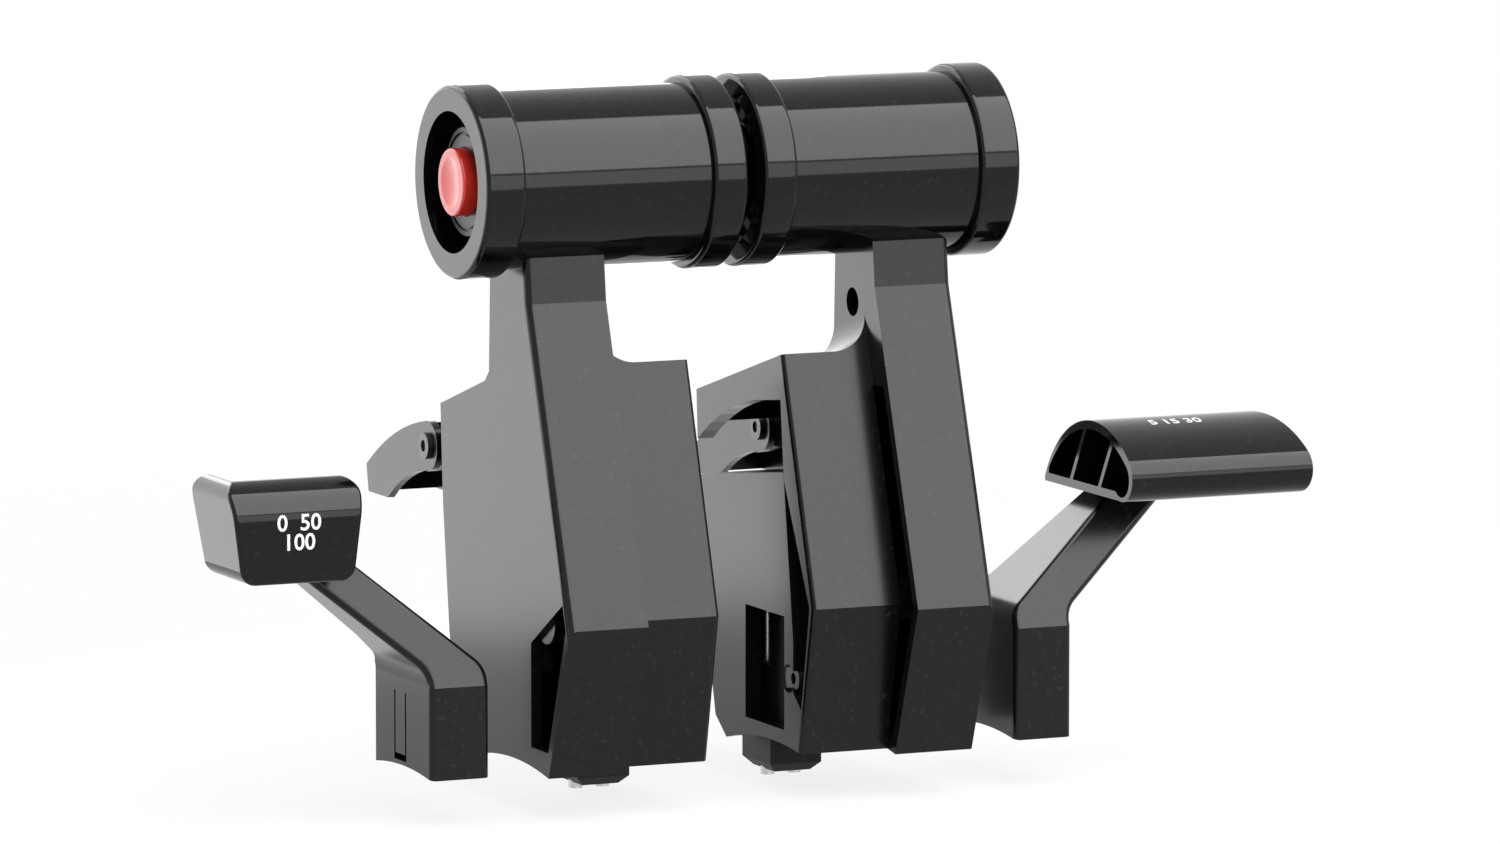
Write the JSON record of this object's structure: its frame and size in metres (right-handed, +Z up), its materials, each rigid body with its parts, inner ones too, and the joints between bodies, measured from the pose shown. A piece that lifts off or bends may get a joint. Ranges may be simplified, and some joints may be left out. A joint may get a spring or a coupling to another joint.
{
  "type": "throttle quadrant lever set",
  "caption": "Slip-on lever set of a throttle quadrant: thrust levers with flanged grips, end buttons and reverse levers, between a block-knob lever and a wing-knob lever.",
  "frame": {"origin": "middle of the mouth of the speed brake lever's arm socket", "axes": "+X to the right along the grips, +Y away from the pilot, +Z up"},
  "size_m": [0.2142, 0.1018, 0.1347],
  "materials": {
    "black_shell": "satin, moulded",
    "black_grip": "gloss",
    "black_matte": "matt, moulded",
    "red_button": "gloss, tinted through",
    "steel": "plain",
    "black_steel": "blackened",
    "white_nylon": "natural, moulded"
  },
  "bodies": {
    "speed_brake_lever": {"speed_brake_handle": "black_shell", "speed_brake_knob": "black_grip", "speed_brake_knob_screw": "black_steel"},
    "left_thrust_lever": {"left_outer_shell": "black_shell", "left_inner_shell": "black_shell", "left_side_cover": "black_shell", "left_case_screws": "black_steel", "left_arm_socket": "black_matte", "left_rod_guide": "black_matte", "left_grip": "black_grip", "left_grip_end_cap": "black_shell", "left_button_carrier": "black_shell", "left_button_spring": "steel", "left_button_crank_pin": "steel", "left_reverse_bracket": "black_matte", "left_reverse_pivot": "black_steel", "left_reverse_spring": "steel", "left_reverse_crank_pin": "steel"},
    "left_button": {"left_button": "red_button"},
    "left_button_crank": {"left_button_crank": "white_nylon"},
    "left_button_rod": {"left_button_rod": "steel"},
    "left_reverse_lever": {"left_reverse_lever": "black_shell"},
    "left_reverse_plunger": {"left_reverse_plunger": "white_nylon"},
    "left_reverse_crank": {"left_reverse_crank": "white_nylon"},
    "left_reverse_rod": {"left_reverse_rod": "steel"},
    "right_thrust_lever": {"right_outer_shell": "black_shell", "right_inner_shell": "black_shell", "right_side_cover": "black_shell", "right_case_screws": "black_steel", "right_arm_socket": "black_matte", "right_rod_guide": "black_matte", "right_grip": "black_grip", "right_grip_end_cap": "black_shell", "right_button_carrier": "black_shell", "right_button_spring": "steel", "right_button_crank_pin": "steel", "right_reverse_bracket": "black_matte", "right_reverse_pivot": "black_steel", "right_reverse_spring": "steel", "right_reverse_crank_pin": "steel"},
    "right_button": {"right_button": "red_button"},
    "right_button_crank": {"right_button_crank": "white_nylon"},
    "right_button_rod": {"right_button_rod": "steel"},
    "right_reverse_lever": {"right_reverse_lever": "black_shell"},
    "right_reverse_plunger": {"right_reverse_plunger": "white_nylon"},
    "right_reverse_crank": {"right_reverse_crank": "white_nylon"},
    "right_reverse_rod": {"right_reverse_rod": "steel"},
    "flap_lever": {"flap_handle": "black_shell", "flap_knob": "black_grip", "flap_knob_screw": "black_steel"}
  },
  "joints": [
    {"name": "left_thrust_swing", "type": "hinge", "parent": "speed_brake_lever", "child": "left_thrust_lever", "pos_m": [0, 0, -0.09], "axis": [1, 0, 0], "range_deg": [-25, 25]},
    {"name": "left_button_press", "type": "slide", "parent": "left_thrust_lever", "child": "left_button", "axis": [1, 0, 0], "range_m": [0, 0.002], "stiffness_N_per_m": 400, "springref_m": -0.002, "deforming": ["left_button_spring"]},
    {"name": "left_button_crank_turn", "type": "hinge", "parent": "left_thrust_lever", "child": "left_button_crank", "pos_m": [0.02275, 0.0035, 0.101], "axis": [0, 1, 0], "range_deg": [0, 20]},
    {"name": "left_button_rod_slide", "type": "slide", "parent": "left_thrust_lever", "child": "left_button_rod", "axis": [0, 0, -1], "range_m": [0, 0.0021]},
    {"name": "left_reverse_lift", "type": "hinge", "parent": "left_thrust_lever", "child": "left_reverse_lever", "pos_m": [0.02495, 0.0445, 0.0528], "axis": [1, 0, 0], "range_deg": [0, 80], "stiffness_Nm_per_rad": 0.004, "springref_deg": -34.38, "deforming": ["left_reverse_spring"]},
    {"name": "left_reverse_plunger_slide", "type": "slide", "parent": "left_thrust_lever", "child": "left_reverse_plunger", "axis": [0, -1, 0], "range_m": [0, 0.0017]},
    {"name": "left_reverse_crank_turn", "type": "hinge", "parent": "left_thrust_lever", "child": "left_reverse_crank", "pos_m": [0.02495, 0.022, 0.0468], "axis": [1, 0, 0], "range_deg": [0, 16]},
    {"name": "left_reverse_rod_slide", "type": "slide", "parent": "left_thrust_lever", "child": "left_reverse_rod", "axis": [0, 0, -1], "range_m": [0, 0.0017]},
    {"name": "right_thrust_swing", "type": "hinge", "parent": "speed_brake_lever", "child": "right_thrust_lever", "pos_m": [0, 0, -0.09], "axis": [1, 0, 0], "range_deg": [-25, 25]},
    {"name": "right_button_press", "type": "slide", "parent": "right_thrust_lever", "child": "right_button", "axis": [-1, 0, 0], "range_m": [0, 0.002], "stiffness_N_per_m": 400, "springref_m": -0.002, "deforming": ["right_button_spring"]},
    {"name": "right_button_crank_turn", "type": "hinge", "parent": "right_thrust_lever", "child": "right_button_crank", "pos_m": [0.09545, 0.0035, 0.101], "axis": [0, -1, 0], "range_deg": [0, 20]},
    {"name": "right_button_rod_slide", "type": "slide", "parent": "right_thrust_lever", "child": "right_button_rod", "axis": [0, 0, -1], "range_m": [0, 0.0021]},
    {"name": "right_reverse_lift", "type": "hinge", "parent": "right_thrust_lever", "child": "right_reverse_lever", "pos_m": [0.09325, 0.0445, 0.0528], "axis": [1, 0, 0], "range_deg": [0, 80], "stiffness_Nm_per_rad": 0.004, "springref_deg": -34.38, "deforming": ["right_reverse_spring"]},
    {"name": "right_reverse_plunger_slide", "type": "slide", "parent": "right_thrust_lever", "child": "right_reverse_plunger", "axis": [0, -1, 0], "range_m": [0, 0.0017]},
    {"name": "right_reverse_crank_turn", "type": "hinge", "parent": "right_thrust_lever", "child": "right_reverse_crank", "pos_m": [0.09325, 0.022, 0.0468], "axis": [1, 0, 0], "range_deg": [0, 16]},
    {"name": "right_reverse_rod_slide", "type": "slide", "parent": "right_thrust_lever", "child": "right_reverse_rod", "axis": [0, 0, -1], "range_m": [0, 0.0017]},
    {"name": "flap_swing", "type": "hinge", "parent": "speed_brake_lever", "child": "flap_lever", "pos_m": [0, 0, -0.09], "axis": [1, 0, 0], "range_deg": [-25, 25]}
  ],
  "couplings": [
    {"joint": "left_button_crank_turn", "follows": "left_button_press", "rad_per_m": 166.67},
    {"joint": "left_button_rod_slide", "follows": "left_button_press", "ratio": 1},
    {"joint": "left_reverse_plunger_slide", "follows": "left_reverse_lift", "m_per_rad": 0.0011459},
    {"joint": "left_reverse_crank_turn", "follows": "left_reverse_lift", "ratio": 0.19099},
    {"joint": "left_reverse_rod_slide", "follows": "left_reverse_lift", "m_per_rad": 0.0011459},
    {"joint": "right_button_crank_turn", "follows": "right_button_press", "rad_per_m": 166.67},
    {"joint": "right_button_rod_slide", "follows": "right_button_press", "ratio": 1},
    {"joint": "right_reverse_plunger_slide", "follows": "right_reverse_lift", "m_per_rad": 0.0011459},
    {"joint": "right_reverse_crank_turn", "follows": "right_reverse_lift", "ratio": 0.19099},
    {"joint": "right_reverse_rod_slide", "follows": "right_reverse_lift", "m_per_rad": 0.0011459}
  ]
}
